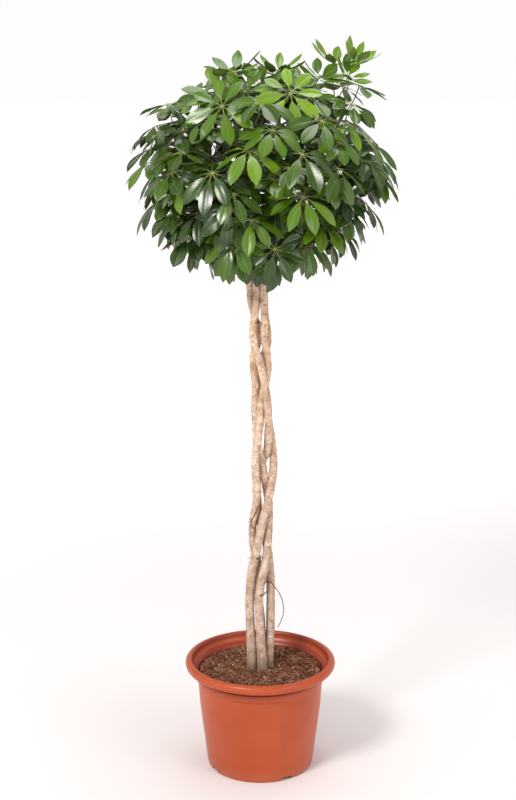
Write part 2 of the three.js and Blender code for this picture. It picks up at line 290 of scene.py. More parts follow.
def stalk_material():
    m = Nodes("leaf_stalk")
    along, tone = m.attr("along"), m.attr("tone")
    coords = m.coords()
    base = m.ramp(along, (0.0, (0.085, 0.105, 0.032)), (0.25, (0.12, 0.19, 0.045)),
                  (0.8, (0.15, 0.21, 0.045)), (1.0, (0.27, 0.31, 0.07)))
    base = m.mix(m.math("MULTIPLY", tone, 0.35), base, (0.10, 0.085, 0.035))
    spots = m.noise(coords, 420.0, 3.0)
    color = m.mix(m.math("MULTIPLY", m.step(spots, 0.55, 0.75), 0.35), base, (0.09, 0.075, 0.03))
    rough = m.math("ADD", 0.38, m.math("MULTIPLY", spots, 0.2))
    return m.finish(color, rough, m.bump(spots, 0.2, 0.0004))


def bark_material():
    m = Nodes("bark")
    coords = m.coords((1, 1, 0.22))
    plain = m.coords()
    height = m.node("ShaderNodeSeparateXYZ", Vector=plain).outputs[2]
    young = m.step(height, 0.35, 0.95)
    ring = m.attr("ring")
    streak = m.noise(coords, 330.0, 5.0, 0.62)
    patch = m.noise(plain, 55.0, 5.0, 0.65)
    old = m.ramp(patch, (0.32, (0.40, 0.27, 0.195)), (0.5, (0.60, 0.44, 0.335)), (0.68, (0.78, 0.64, 0.52)))
    fresh = m.ramp(patch, (0.32, (0.44, 0.27, 0.165)), (0.5, (0.66, 0.46, 0.325)),
                   (0.68, (0.84, 0.68, 0.53)))
    color = m.mix(young, old, fresh)
    color = m.mix(m.math("MULTIPLY", m.step(streak, 0.50, 0.72), 0.5), color, (0.24, 0.135, 0.075))
    scab = m.noise(plain, 170.0, 5.0, 0.72)
    color = m.mix(m.math("MULTIPLY", m.step(scab, 0.55, 0.62), 0.7), color, (0.24, 0.12, 0.06))
    crack = m.noise(m.coords((1, 1, 0.12)), 520.0, 4.0, 0.7)
    color = m.mix(m.math("MULTIPLY", m.step(crack, 0.56, 0.66), 0.55), color, (0.16, 0.078, 0.040))
    flecks = m.step(m.noise(m.coords((1, 1, 1.9)), 310.0, 2.0), 0.60, 0.68)
    color = m.mix(m.math("MULTIPLY", flecks, 0.55), color, (0.20, 0.095, 0.050))
    color = m.mix(m.math("MULTIPLY", ring, 0.7), color, (0.22, 0.115, 0.065))
    green = m.step(height, 1.10, 1.36)
    color = m.mix(m.math("MULTIPLY", green, 0.75), color, (0.075, 0.075, 0.030))
    uneven = m.math("ADD", height, m.math("MULTIPLY", patch, -0.05))
    foot = m.math("SUBTRACT", 1.0, m.step(uneven, 0.195, 0.235))
    color = m.mix(m.math("MULTIPLY", foot, 0.7), color, (0.14, 0.07, 0.04))
    rough = m.math("ADD", 0.66, m.math("MULTIPLY", streak, 0.22))
    bump = m.bump(m.math("ADD", streak, m.math("ADD", scab, m.math("MULTIPLY", flecks, -0.5))), 0.7, 0.0012)
    return m.finish(color, rough, bump, Specular_IOR_Level=0.35)


def root_material():
    m = Nodes("root")
    grain = m.noise(m.coords(), 260.0, 4.0, 0.6)
    color = m.mix(m.step(grain, 0.35, 0.65), (0.060, 0.026, 0.014), (0.150, 0.070, 0.036))
    return m.finish(color, m.math("ADD", 0.7, m.math("MULTIPLY", grain, 0.2)), m.bump(grain, 0.5, 0.0006))


def pot_material():
    m = Nodes("pot_plastic")
    coords = m.coords()
    height = m.node("ShaderNodeSeparateXYZ", Vector=coords).outputs[2]
    inside = m.attr("inside")
    cloud = m.noise(coords, 7.0, 4.0, 0.55)
    color = m.mix(m.step(cloud, 0.3, 0.72), (0.410, 0.059, 0.012), (0.480, 0.080, 0.019))
    # painted shade: the pot's inside and the groove under the rim are darkened
    color = m.mix(m.math("MULTIPLY", inside, 0.75), color, (0.24, 0.027, 0.009))
    scuff = m.noise(m.coords((1, 1, 3.0)), 85.0, 6.0, 0.7)
    marks = m.step(scuff, 0.60, 0.78)
    color = m.mix(m.math("MULTIPLY", marks, 0.22), color, (0.56, 0.16, 0.07))
    dust = m.math("MULTIPLY", m.math("SUBTRACT", 1.0, m.step(height, 0.0, 0.035)), 0.3)
    color = m.mix(dust, color, (0.40, 0.16, 0.09))
    grain = m.noise(coords, 1400.0, 2.0)
    rough = m.math("ADD", m.math("ADD", 0.29, m.math("MULTIPLY", cloud, 0.14)),
                   m.math("MULTIPLY", marks, 0.12))
    bump = m.bump(m.math("ADD", m.math("MULTIPLY", grain, 0.35), m.math("MULTIPLY", cloud, 0.8)),
                  0.16, 0.0009)
    return m.finish(color, rough, bump, Specular_IOR_Level=0.42)


def soil_material(chips):
    m = Nodes("soil_chips" if chips else "soil_bed")
    coords = m.coords()
    fine = m.noise(coords, 420.0, 5.0, 0.65)
    if chips:
        tone = m.attr("tone")
        color = m.ramp(tone, (0.0, (0.045, 0.018, 0.010)), (0.3, (0.13, 0.046, 0.024)),
                       (0.62, (0.27, 0.100, 0.054)), (0.82, (0.42, 0.20, 0.115)),
                       (0.95, (0.62, 0.40, 0.27)))
        color = m.mix(m.math("MULTIPLY", fine, 0.4), color, (0.10, 0.036, 0.020))
    else:
        lump = m.noise(coords, 60.0, 4.0)
        color = m.ramp(lump, (0.3, (0.032, 0.013, 0.008)), (0.55, (0.10, 0.038, 0.021)),
                       (0.8, (0.19, 0.075, 0.042)))
    rough = m.math("ADD", 0.8, m.math("MULTIPLY", fine, 0.18))
    return m.finish(color, rough, m.bump(fine, 0.7, 0.0012), Specular_IOR_Level=0.25)


def perlite_material():
    m = Nodes("perlite")
    coords = m.coords()
    pits = m.noise(coords, 900.0, 3.0)
    color = m.mix(m.step(pits, 0.4, 0.7), (0.82, 0.79, 0.74), (0.55, 0.47, 0.40))
    return m.finish(color, m.math("ADD", 0.75, m.math("MULTIPLY", pits, 0.15)), m.bump(pits, 0.6, 0.0008))


BLADE, STALK_M, BARK, POT = leaf_material(), stalk_material(), bark_material(), pot_material()
BED, CHIPS, PERLITE = soil_material(False), soil_material(True), perlite_material()
ROOT = root_material()

# ---------------------------------------------------------------- pot
# The pot's profile, as distance from the axis and height: up the outside, then down the inside.
OUTSIDE = [(0, 4), (60, 4), (95, 4), (96.6, 3.4), (97.4, 0.8), (98.6, 0), (112.6, 0), (115, 0.9),
           (116.4, 3.6), (117.2, 9), (120.7, 35), (124.2, 65), (129, 103), (133.6, 142), (136.6, 188),
           (136.6, 195.2), (136.9, 196.6), (139.2, 198.0), (140.2, 199.6), (140.5, 207), (139.9, 212.6),
           (137.6, 214.6), (137.2, 216.4), (139.0, 218.4), (143.5, 220.8), (150, 222.6), (157, 224.2),
           (161.4, 226.6), (163.9, 230.2), (165, 235.6), (164.2, 239.6), (161.8, 242.8), (158, 244.6),
           (154.6, 245)]
INSIDE = [(152.2, 244.4), (150.4, 242.4), (149.5, 238), (148.3, 232.6), (146.2, 228), (142.8, 224.4),
          (139, 220.8), (136.6, 217), (135.4, 210), (134.6, 195), (130.8, 142), (126, 100), (121.4, 65),
          (114.6, 14), (113.4, 9.4), (110.5, 7), (60, 7), (0, 7)]
PROFILE_STEP = 9
POT_SEGMENTS = 160
POT_SHARP = 35
DRAIN_AZIMUTHS = (-60, 30, 120, 210)
DRAIN_SLOT = (26, 22, 10)
DRAIN_DISTANCE = 112
# Within this distance of the axis, by height, the plastic gets painted shade: darker on the pot's inside.
# It takes in the groove under the rim, as painted shadow under the rim's bead.
SHADE_HEIGHTS = [7, 9.4, 65, 195, 224.4, 238, 244.4]
SHADE_RADII = [110.5, 113.4, 121.4, 134.6, 142.8, 149.5, 152.2]


def turned_pot():
    """The pot's shell, turned from its profile."""
    profile = []
    line = OUTSIDE + INSIDE
    for (r0, z0), (r1, z1) in zip(line, line[1:]):
        steps = max(1, int(math.hypot(r1 - r0, z1 - z0) / PROFILE_STEP))
        profile += [(r0 + (r1 - r0) * i / steps, z0 + (z1 - z0) * i / steps) for i in range(steps)]
    rz = np.array(profile[1:])
    angle = np.linspace(0, TURN, POT_SEGMENTS, endpoint=False)
    verts = np.stack([rz[:, :1] * np.cos(angle), rz[:, :1] * np.sin(angle),
                      np.repeat(rz[:, 1:], POT_SEGMENTS, 1)], -1).reshape(-1, 3)
    verts = np.vstack([verts, [0, 0, OUTSIDE[0][1]], [0, 0, INSIDE[-1][1]]])
    faces = capped_faces(len(rz), POT_SEGMENTS)
    return make_object("pot_shell", verts * MM, faces, [POT], sharp_angle=POT_SHARP)


def cut_drain_slots(pot):
    for azimuth in DRAIN_AZIMUTHS:
        bpy.ops.mesh.primitive_cube_add(size=1)
        slot = bpy.context.object
        slot.scale = [size * MM for size in DRAIN_SLOT]
        slot.location = (heading(azimuth, 0) * DRAIN_DISTANCE + UP * 3) * MM
        slot.rotation_euler = (0, 0, math.radians(azimuth - 90))
        cut = pot.modifiers.new("slot", "BOOLEAN")
        cut.operation, cut.solver, cut.object = "DIFFERENCE", "EXACT", slot
        bpy.context.view_layer.objects.active = pot
        bpy.ops.object.modifier_apply(modifier=cut.name)
        bpy.data.objects.remove(slot)


def build_pot():
    pot = turned_pot()
    cut_drain_slots(pot)
    mesh = pot.data
    co = np.empty(len(mesh.vertices) * 3)
    mesh.vertices.foreach_get("co", co)
    x, y, z = co.reshape(-1, 3).T / MM
    # where the pot gets painted shade: its inside and the groove under the rim
    inside = (z > 6.8) & (np.hypot(x, y) < np.interp(z, SHADE_HEIGHTS, SHADE_RADII) + 0.6)
    layer = mesh.attributes.new("inside", "FLOAT", "POINT")
    layer.data.foreach_set("value", inside.astype(np.float32))
    mesh.set_sharp_from_angle(angle=math.radians(POT_SHARP))
    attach(pot, "root")
    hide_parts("pot")


# ---------------------------------------------------------------- soil
SOIL_EDGE = 214  # height of the soil where it meets the pot
SOIL_REACH = 134.3  # distance from the axis that no chip passes
SOIL_SKIRT = [(133.6, 195), (130, 142), (120.6, 65), (113, 9.4), (109.6, 7.6)]
CHIP_COUNT, QUICK_CHIPS = 7200, 2600


def soil_height(x, y):
    """Height of the soil's surface in mm, with its low lumps."""
    r = np.hypot(x, y)
    mound = np.interp(r, [0, 45, 88, 120, 135], [219.5, 218.5, 220, 217.5, 215.5])
    lumps = (1.1 * np.sin(x * 0.115 + 1.3) * np.sin(y * 0.094 + 0.4)
             + 0.8 * np.sin(x * 0.27 + y * 0.21) + 0.6 * np.sin(x * 0.36 - y * 0.44 + 2.0))
    return mound + lumps + 3.2 * np.exp(-(r / 26) ** 2)


def random_spot(rng, radius):
    """x and y in mm of a random place on the soil within that distance of the axis."""
    r, a = radius * math.sqrt(rng.uniform(0, 1)), rng.uniform(0, TURN)
    return np.array([r * math.cos(a), r * math.sin(a)])


def build_soil_bed(rng):
    """The bed of soil, which fills the pot up to its lumpy surface."""
    rings, segments = 46, 130
    radii = np.linspace(3, 134.6, rings)
    angle = np.linspace(0, TURN, segments, endpoint=False)
    x = radii[:, None] * np.cos(angle)
    y = radii[:, None] * np.sin(angle)
    z = soil_height(x, y) + rng.uniform(-1.3, 0.5, x.shape)
    z[-1] = SOIL_EDGE
    top = np.stack([x, y, z], -1).reshape(-1, 3)
    wall = np.concatenate([np.stack([r * np.cos(angle), r * np.sin(angle), np.full(segments, h)], -1)
                           for r, h in SOIL_SKIRT])
    verts = np.vstack([top, wall, [0, 0, soil_height(0, 0)], [0, 0, SOIL_SKIRT[-1][1]]])
    faces = [f[::-1] for f in capped_faces(rings + len(SOIL_SKIRT), segments)]
    bed = make_object("soil_bed", verts * MM, faces, [BED], smooth=False)
    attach(bed, "root")
    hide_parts("soil")


def turned(yaw, tip, roll):
    """Rotation matrix: a roll, then a tip, then a yaw."""
    cy, sy, ct, st, cr, sr = (math.cos(yaw), math.sin(yaw), math.cos(tip), math.sin(tip),
                              math.cos(roll), math.sin(roll))
    return (np.array([[cy, -sy, 0], [sy, cy, 0], [0, 0, 1]])
            @ np.array([[ct, 0, st], [0, 1, 0], [-st, 0, ct]])
            @ np.array([[1, 0, 0], [0, cr, -sr], [0, sr, cr]]))


def build_chips(rng):
    """Bark and coir chips strewn over the soil."""
    chips = Builder(["tone"])
    cube = np.array([[-1, -1, -1], [1, -1, -1], [1, 1, -1], [-1, 1, -1],
                     [-1, -1, 1], [1, -1, 1], [1, 1, 1], [-1, 1, 1]], float)
    cube_faces = [[0, 3, 2, 1], [4, 5, 6, 7], [0, 1, 5, 4], [1, 2, 6, 5], [2, 3, 7, 6], [3, 0, 4, 7]]
    for _ in range(CHIP_COUNT):
        px, py = random_spot(rng, 133)
        long = rng.lognormal(math.log(2.6), 0.45)
        wide = min(long, rng.lognormal(math.log(1.25), 0.45))
        thick = min(wide, rng.lognormal(math.log(0.7), 0.35))
        shape = cube * [long, wide, thick]
        shape = shape * (1 + rng.uniform(-0.3, 0.3, shape.shape))
        shape[:, 2] += 0.10 * rng.uniform(-1, 1) * shape[:, 0] ** 2 / max(long, 1)
        turn = turned(rng.uniform(0, TURN), rng.normal(0, 0.38), rng.normal(0, 0.5))
        pull = min(1, (SOIL_REACH - 1.1 * long) / math.hypot(px, py))
        px, py = px * pull, py * pull
        pz = float(soil_height(px, py)) + rng.uniform(-0.6, 1.5)
        chips.add((shape @ turn.T + [px, py, pz]) * MM, cube_faces, 0, tone=rng.beta(2.0, 2.3))
    piece = chips.build("soil_chips", [CHIPS], smooth=False)
    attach(piece, "root")


def build_fibres(rng):
    """Curved coir fibres lying on the soil."""
    fibres = Builder(["tone"])
    for _ in range(420):
        start = random_spot(rng, 126)
        way, bend = rng.uniform(0, TURN), rng.uniform(-0.5, 0.5)
        length = rng.uniform(7, 20)
        line = []
        for s in np.linspace(0, 1, 7):
            p = start + length * s * np.array([math.cos(way + bend * s), math.sin(way + bend * s)])
            line.append([p[0], p[1], float(soil_height(*p)) + 1.6 + 1.8 * math.sin(math.pi * s)])
        line = np.array(line)
        if np.hypot(line[:, 0], line[:, 1]).max() > 132:
            continue
        v, f = tube(line, rng.uniform(0.25, 0.5), 5)
        fibres.add(v * MM, f, 0, tone=rng.uniform(0.55, 1.0))
    piece = fibres.build("soil_fibres", [CHIPS])
    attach(piece, "root")


def build_perlite(rng):
    """A few pale perlite grains on the soil."""
    grains = Builder([])
    ball, faces = icosphere(1)
    for _ in range(46):
        x, y = random_spot(rng, 128)
        size = rng.uniform(0.7, 1.7)
        grain = ball * size * (1 + rng.uniform(-0.25, 0.25, (len(ball), 1)))
        grains.add((grain + [x, y, float(soil_height(x, y)) + 1.3]) * MM, faces, 0)
    piece = grains.build("soil_perlite", [PERLITE], smooth=False)
    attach(piece, "root")


def build_soil():
    rng = np.random.RandomState(5)
    build_soil_bed(rng)
    build_chips(rng)
    build_fibres(rng)
    build_perlite(rng)


# ---------------------------------------------------------------- stems
BARK_VOXEL, QUICK_VOXEL = 1.6, 2.6
BARK_THICKNESS = 1.25
FOOT_FLARE, FLARE_TOP, FLARE_HEIGHT = 2.2, 330, 110
SCAR_LOWEST, SCAR_HIGHEST = 150.0, 1420


def build_stem(index):
    """One stem's bark: the CAD stem remeshed, smoothed and given its thickness, scars and lumps."""
    name = f"stem_{index}"
    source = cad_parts[name]
    mesh = source.data.copy()
    obj = bpy.data.objects.new(f"{name}_bark", mesh)
    bpy.context.scene.collection.objects.link(obj)
    bpy.context.view_layer.objects.active = obj
    voxel = obj.modifiers.new("remesh", "REMESH")
    voxel.mode, voxel.voxel_size = "VOXEL", BARK_VOXEL * MM
    bpy.ops.object.modifier_apply(modifier=voxel.name)
    soft = obj.modifiers.new("smooth", "SMOOTH")
    soft.factor, soft.iterations = 0.5, 30
    bpy.ops.object.modifier_apply(modifier=soft.name)
    mesh = obj.data
    n = len(mesh.vertices)
    co = np.empty(n * 3)
    mesh.vertices.foreach_get("co", co)
    co = co.reshape(-1, 3)
    normal = np.empty(n * 3)
    mesh.vertex_normals.foreach_get("vector", normal)
    normal = normal.reshape(-1, 3)
    rng = np.random.RandomState(40 + index)
    z = co[:, 2] / MM
    push = BARK_THICKNESS + FOOT_FLARE * np.clip((FLARE_TOP - z) / FLARE_HEIGHT, 0, 1) ** 2
    # leaf scars: a raised ring round the stem with a groove over it
    ring = np.zeros(n)
    height = SCAR_LOWEST
    bearing = np.arctan2(normal[:, 1], normal[:, 0])
    while height < SCAR_HIGHEST:
        height += rng.uniform(20, 46) * (1.25 if height < 600 else 1.0)
        tilt, turn, strength = rng.uniform(0.6, 2.6), rng.uniform(0, 6.28), rng.uniform(0.35, 1.0)
        d = z - height - tilt * np.sin(bearing - turn)
        push += strength * (0.55 * np.exp(-(d / 1.9) ** 2) - 0.25 * np.exp(-((d - 3.2) / 1.5) ** 2))
        ring = np.maximum(ring, strength * np.exp(-((d - 2.6) / 1.0) ** 2)
                          * (0.55 + 0.45 * np.sin(bearing * 2 + turn * 3)))
    # low lumps, longer up the stem than round it
    for _ in range(6):
        k = rng.normal(size=3) * [0.16, 0.16, 0.045]
        push += 0.16 * np.sin(co @ k / MM + rng.uniform(0, 6.28))
    co += normal * (push * MM)[:, None]
    mesh.vertices.foreach_set("co", co.reshape(-1))
    layer = mesh.attributes.new("ring", "FLOAT", "POINT")
    layer.data.foreach_set("value", np.clip(ring, 0, 1).astype(np.float32))
    mesh.materials.clear()
    mesh.materials.append(BARK)
    mesh.polygons.foreach_set("use_smooth", [True] * len(mesh.polygons))
    mesh.update()
    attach(obj, "root")
    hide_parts(name)
    return obj


def bark_tree(stems):
    """All the stems' bark as one tree to cast rays at."""
    verts, faces = [], []
    for stem in stems:
        base = len(verts)
        verts += [v.co.copy() for v in stem.data.vertices]
        faces += [[base + i for i in p.vertices] for p in stem.data.polygons]
    return BVHTree.FromPolygons(verts, faces)


def bark_depth(bark, x, z):
    """Depth in mm at which the bark is first met from the front, or None over a gap."""
    hit = bark.ray_cast(Vector((x * MM, -0.2, z * MM)), Vector((0, 1, 0)))[0]
    return None if hit is None else hit.y / MM


def add_root(roots, bark, points, thick, hanging=()):
    """A root along the bark through the points (x, z), then free along hanging (x, y, z).

    Its ends dip behind the bark's surface unless it hangs free, and it spans gaps between stems."""
    path = smooth_curve([(x, 0, z) for x, z in points], 9 * len(points))
    depth = [bark_depth(bark, x, z) for x, _, z in path]
    known = [i for i, y in enumerate(depth) if y is not None]
    path = path[known[0]:known[-1] + 1]
    depth = np.interp(range(known[0], known[-1] + 1), known, [depth[i] for i in known])
    eased = np.convolve(np.pad(depth, 2, mode="edge"), np.ones(5) / 5, mode="valid")
    path[:, 1] = np.minimum(depth, eased) - 0.35 * thick
    path[0, 1] += 1.1 * thick
    if hanging:
        path = np.vstack([path, smooth_curve([path[-1]] + list(hanging), 8 * len(hanging))[1:]])
    else:
        path[-1, 1] += 1.1 * thick
    v, f = tube(path * MM, np.linspace(thick, thick * 0.55, len(path)) * MM, 6)
    roots.add(v, f, 0)


# Roots on the trunk: points x, z along the bark, thickness, and points x, y, z hanging free.
ROOT_ROUTES = [
    ([(3.6, 606), (-4, 597), (-10, 583), (-16, 571), (-20, 562), (-19, 551), (-12, 545)], 1.3, []),
    ([(-16, 571), (-20, 556), (-22, 545)], 0.8, []),
    ([(8, 424), (16, 421), (24, 419)], 1.4,
     [(33, -20, 414), (42, -18, 400), (49, -16, 378), (50.5, -16, 356), (45, -17, 336), (38, -18, 322)]),
    ([(16, 421), (19, 411), (20, 402)], 0.7, []),
    ([(18, 444), (21, 443)], 0.6, [(27, -14, 440), (31, -15, 435)]),
    ([(-15, 485), (-18, 484)], 0.6, [(-24, -14, 481), (-28, -15, 476)]),
]
TIES = ((-2.9, 995, 7), (-0.7, 478, 8), (8, 394, 9))  # middle x, z, and reach to each side
TIE_STRANDS, TIE_SPACING = 3, 1.8
KNOT_AT, KNOT_SIZE = (12, 1082), (5.2, 3.2, 5.4)


def build_roots(bark):
    """Aerial roots, root hairs, wire ties and a pruning scar on the trunk."""
    roots = Builder([])
    for points, thick, hanging in ROOT_ROUTES:
        add_root(roots, bark, points, thick, hanging)
    for x, z, reach in TIES:
        for strand in range(TIE_STRANDS):
            up = z + TIE_SPACING * strand
            add_root(roots, bark, [(x - reach, up + 1.2), (x, up), (x + reach, up - 0.8)], 0.6)
    ball, faces = icosphere(3)
    lumps = 1 + 0.12 * np.sin(ball @ [5.0, 3.0, 6.0]) + 0.08 * np.sin(ball @ [-9.0, 4.0, 8.0])
    x, z = KNOT_AT
    knot = ball * KNOT_SIZE * lumps[:, None] + [x, bark_depth(bark, x, z) + 0.6, z]
    roots.add(knot * MM, faces, 0)
    piece = roots.build("aerial_roots", [ROOT])
    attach(piece, "root")


# ---------------------------------------------------------------- leaves
# A blade's rows from base to tip, its half width at each, and its columns from edge to edge.
BLADE_T = np.array([0, 0.06, 0.17, 0.31, 0.46, 0.60, 0.73, 0.85, 0.94, 1.0])
BLADE_W = np.array([0.05, 0.16, 0.42, 0.72, 0.93, 1.0, 0.95, 0.69, 0.30, 0.02])
BLADE_U = np.array([-1, -0.62, -0.22, 0, 0.22, 0.62, 1])
LEAF_KEYS = ["along", "across", "tone", "side"]
BLADE_THICKNESS = 0.55 * MM
RIB_GROOVE = 0.35 * MM
STALK_SUNK = 4.5 * MM
# Where along a leaflet the gaps between leaves are measured, as shares of its length.
PROBE_SHARES, CAD_PROBE_SHARES = (0.35, 0.7, 0.98), (0.3, 0.65, 0.98)


def add_leaflet(builder, hub, start, bend, facing, half_width, stalk_part, rng, tone):
    """One leaflet on the curve hub + start*s + bend*s*s, with its own short stalk."""
    def at(s):
        s = np.asarray(s)[:, None]
        return hub + start * s + bend * s * s

    def frame_at(s):
        t = start[None, :] + 2 * bend[None, :] * np.asarray(s)[:, None]
        t /= np.linalg.norm(t, axis=1)[:, None]
        n = facing[None, :] - t * (t @ facing)[:, None]
        n /= np.linalg.norm(n, axis=1)[:, None]
        return t, np.cross(t, n), n

    length = np.linalg.norm(start + bend)
    roll = rng.normal(0, 0.24)
    fold = rng.uniform(0.10, 0.30)
    curl = rng.uniform(0.05, 0.22)
    wave, phase = rng.uniform(0.3, 1.1) * MM, rng.uniform(0, 6.28, 2)
    s = stalk_part + (1 - stalk_part) * BLADE_T
    t, side, normal = frame_at(s)
    side, normal = (side * math.cos(roll) + normal * math.sin(roll),
                    normal * math.cos(roll) - side * math.sin(roll))
    width = half_width * BLADE_W
    u = BLADE_U[None, :]
    lift = (width[:, None] * (fold * np.abs(u) - curl * u ** 2)
            + wave * u ** 2 * np.sin(7.5 * BLADE_T[:, None] + np.where(u < 0, phase[0], phase[1])))
    lift -= RIB_GROOVE * np.exp(-(u / 0.12) ** 2) * (width[:, None] > 0.3 * half_width)
    top = (at(s)[:, None, :] + side[:, None, :] * (width[:, None] * u)[..., None]
           + normal[:, None, :] * lift[..., None])
    rows, cols = top.shape[:2]
    thick = BLADE_THICKNESS * (1 - u ** 2 * 0.999) * np.ones((rows, 1))
    thick[[0, -1]] *= 0.3
    under = top - normal[:, None, :] * thick[..., None]
    inner = slice(1, cols - 1)
    verts = np.vstack([top.reshape(-1, 3), under[1:-1, inner].reshape(-1, 3)])
    n_top = rows * cols

    def low(r, c):
        """The vertex under row r, column c: the same one at the blade's edge."""
        if r in (0, rows - 1) or c in (0, cols - 1):
            return r * cols + c
        return n_top + (r - 1) * (cols - 2) + (c - 1)

    faces, under_faces = [], []
    for r in range(rows - 1):
        for c in range(cols - 1):
            faces.append([r * cols + c, r * cols + c + 1, (r + 1) * cols + c + 1, (r + 1) * cols + c])
            under_faces.append([low(r, c), low(r + 1, c), low(r + 1, c + 1), low(r, c + 1)])
    along = np.concatenate([np.repeat(BLADE_T, cols), np.repeat(BLADE_T[1:-1], cols - 2)])
    across = np.concatenate([np.tile(BLADE_U, rows), np.tile(BLADE_U[inner], rows - 2)])
    on_top = np.concatenate([np.ones(n_top), np.zeros(len(verts) - n_top)])
    builder.add(verts, faces + under_faces, 0, along=along, across=across, tone=tone, side=on_top)
    # its stalk, running on under the blade as the midrib
    rib = np.array([0.0, 0.35, 0.7, 1.0, 1.25, 1.9]) * stalk_part
    _, _, n = frame_at(rib)
    line = at(rib) - n * (np.array([0, 0, 0, 0.35, 0.6, 0.7]) * MM)[:, None]
    v, f = tube(line, np.array([0.95, 0.75, 0.7, 0.75, 0.6, 0.25]) * MM * (length / 0.085) ** 0.5, 5)
    builder.add(v, f, 1, along=0.92, tone=tone * 0.25)


def add_stalk(builder, points, rng, thickness=1.0):
    """A leaf stalk through the points, begun STALK_SUNK behind the first, towards the wood."""
    root = points[0] - unit(points[1] - points[0]) * STALK_SUNK
    line = np.vstack([root, smooth_curve(points, 11)])
    s = np.linspace(0, 1, len(line))
    radius = (1.25 + 0.9 * np.exp(-s / 0.05) + 0.55 * np.exp(-(1 - s) / 0.03)) * MM * thickness
    v, f = tube(line, radius, 6)
    along = np.concatenate([np.repeat(s, 6), [0, 1]])
    builder.add(v, f, 1, along=along * 0.85, tone=rng.uniform(0, 0.7))


# In a CAD leaflet the two widest points stand this far out, as a share of the way to the tip, and
# have this share of the tip's bend.
WIDEST_OUT, WIDEST_BEND = 0.572, 0.36


def decode_leaf(obj):
    """Hub, facing, leaflets as (start, bend, half width) and stalk points of a CAD leaf."""
    bm = bmesh.new()
    bm.from_mesh(obj.data)
    bmesh.ops.remove_doubles(bm, verts=bm.verts, dist=0.02 * MM)
    verts = np.array([v.co for v in bm.verts])
    links = [{e.other_vert(v).index for e in v.link_edges} for v in bm.verts]
    bm.free()
    top, under = sorted(range(len(links)), key=lambda i: -len(links[i]))[:2]
    hub = (verts[top] + verts[under]) / 2
    blade = links[top] | links[under] | {top, under}
    stem = np.array([v for i, v in enumerate(verts) if i not in blade])
    stem = stem[np.argsort(-np.linalg.norm(stem - hub, axis=1))]
    rings = [stem[i:i + 4].mean(0) for i in range(0, min(16, len(stem) - 3), 4)]
    facing = unit(verts[top] - verts[under])
    if facing.dot(rings[-1] - hub) > 0:
        facing, top, under = -facing, under, top
    across = unit(np.cross(UP, facing))
    up = np.cross(facing, across)
    ring = sorted(links[top] - {under},
                  key=lambda i: math.atan2((verts[i] - hub).dot(up), (verts[i] - hub).dot(across)))
    points = verts[ring] - hub
    reach = np.linalg.norm(points, axis=1)
    tips, bends, halves = [], [], []
    for i, tip in enumerate(points):
        j = (i + 1) % len(points)
        if reach[i] > max(reach[i - 1], reach[j], 0.6 * reach.max()):
            middle = (points[i - 1] + points[j]) / 2
            tips.append(tip)
            bends.append((WIDEST_OUT * tip - middle) / (WIDEST_OUT - WIDEST_BEND) / reach[i])
            halves.append(np.linalg.norm(points[j] - points[i - 1]) / 2 / reach[i])
    bend, half = np.median(bends, axis=0), np.median(halves)
    leaflets = [(tip - bend * np.linalg.norm(tip), bend * np.linalg.norm(tip), half * np.linalg.norm(tip))
                for tip in tips]
    return hub, facing, leaflets, rings


def tone_shift(hub):
    """Leaves are lighter green near the top and darker green below."""
    return np.clip((hub[2] - 1.33) * 1.5, -0.2, 0.25)


def leaflet_points(hub, curves, shares):
    """Points along every leaflet of a leaf, which samples collects to space the leaves out."""
    return [hub + start * t + bend * t * t for start, bend, _ in curves for t in shares]


def build_cad_leaf(index, samples):
    """The detailed leaf that replaces one CAD leaf."""
    name = f"leaf_{index:02d}"
    hub, facing, leaflets, stalk = decode_leaf(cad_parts[name])
    rng = np.random.RandomState(900 + index)
    builder = Builder(LEAF_KEYS)
    tone = rng.beta(1.6, 2.4) + tone_shift(hub)
    for start, bend, half in leaflets:
        droop = rng.uniform(-0.02, 0.06) * np.linalg.norm(start)
        add_leaflet(builder, hub, start, bend - UP * droop, facing, half * rng.uniform(0.90, 1.04),
                    rng.uniform(0.17, 0.25), rng, np.clip(tone + rng.normal(0, 0.10), 0, 1))
    samples += leaflet_points(hub, leaflets, CAD_PROBE_SHARES)
    add_stalk(builder, stalk + [hub - facing * MM], rng)
    piece = builder.build(f"{name}_detail", [BLADE, STALK_M])
    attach(piece, "root")
    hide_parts(name)


# The crown's surface in mm and degrees: height, distance from the axis, elevation that leaves face.
SHELL = np.array([
    [1150, 108, 20], [1194, 154, 40], [1246, 202, 55], [1324, 228, 64], [1400, 214, 68],
    [1464, 156, 72], [1505, 96, 78], [1515, 0, 85]], float)


LOWEST_HUB, HIGHEST_HUB, CAP_HEIGHT, CAP_RADIUS = 1158, 1482, 1448, 150


def fill_candidate(rng, depth):
    """Hub and facing of a random inner leaf, at that share of the crown's distance from the axis."""
    height = rng.uniform(LOWEST_HUB, HIGHEST_HUB)
    radius = np.interp(height, SHELL[:, 0], SHELL[:, 1]) * depth * rng.uniform(0.92, 1.06)
    if height > CAP_HEIGHT:
        radius = CAP_RADIUS * math.sqrt(rng.uniform(0, 1))
    azimuth = rng.uniform(0, 360)
    facing = heading(azimuth + rng.normal(0, 16),
                     np.interp(height, SHELL[:, 0], SHELL[:, 2]) + rng.normal(0, 14))
    hub = heading(azimuth, 0) * radius + UP * (height - 8)
    return hub * MM, facing


def leaf_curves(facing, length, count, fold, rng):
    """A whorl of leaflets as (start, bend, half width)."""
    across = unit(np.cross(UP, facing))
    up = np.cross(facing, across)
    turn = rng.uniform(0, TURN)
    out = []
    for i in range(count):
        angle = turn + TURN * (i + 0.12 * rng.uniform(-1, 1)) / count
        reach = length * rng.uniform(0.86, 1.06)
        start = (across * math.cos(angle) + up * math.sin(angle)) * reach
        out.append((start, (-facing * fold - UP * 0.12) * reach, reach * rng.uniform(0.19, 0.24)))
    return out


